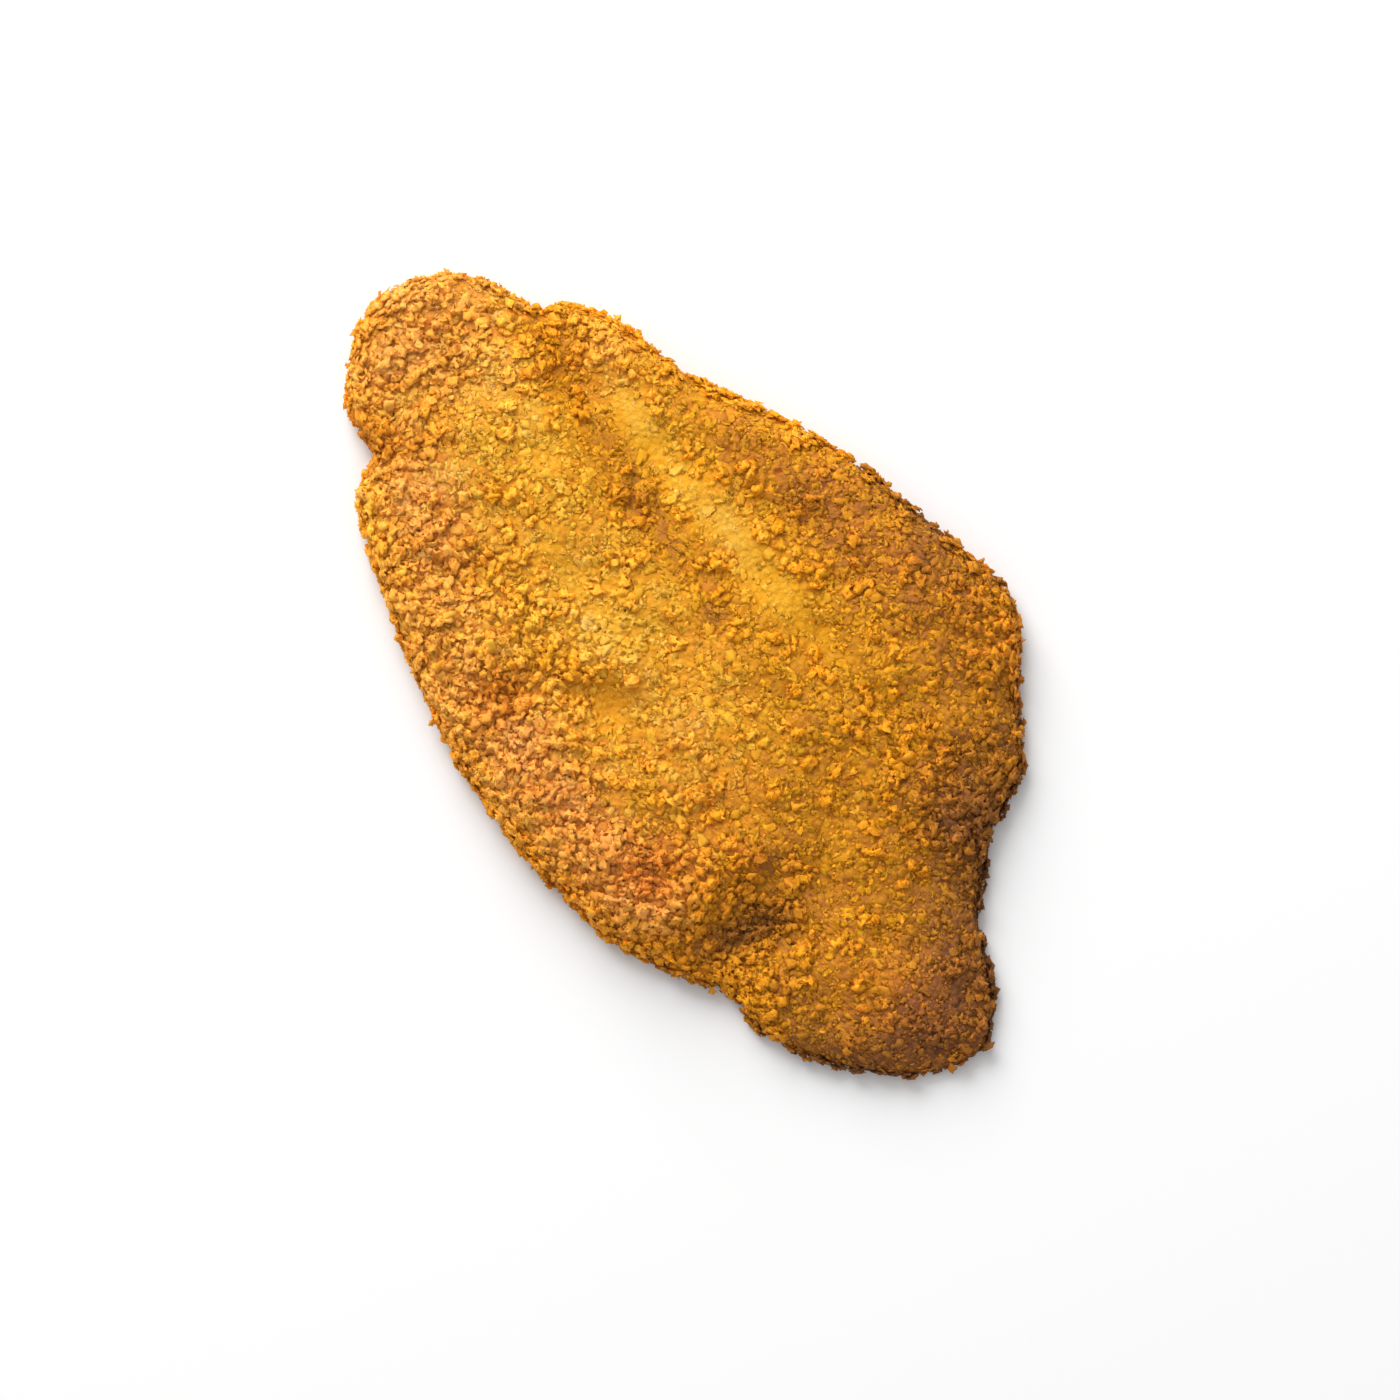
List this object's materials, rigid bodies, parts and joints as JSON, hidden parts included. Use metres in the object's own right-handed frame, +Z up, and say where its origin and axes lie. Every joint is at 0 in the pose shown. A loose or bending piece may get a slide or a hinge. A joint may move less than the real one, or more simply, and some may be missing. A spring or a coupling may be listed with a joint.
{
  "type": "schnitzel",
  "caption": "Breaded and fried flat cutlet with a golden, uneven breadcrumb crust, a blunt end, a full body and a narrow tail.",
  "frame": {"origin": "on the surface that the cutlet rests on, under the middle of its box", "axes": "+Z up out of the better side; +X along the length toward the narrow tail; +Y across, toward the shoulder"},
  "size_m": [0.2, 0.113, 0.0161],
  "materials": {
    "breadcrumb_crust": "golden fried breadcrumbs, rough, with a slight sheen of oil"
  },
  "bodies": {
    "root": {"schnitzel": "breadcrumb_crust"}
  },
  "joints": []
}
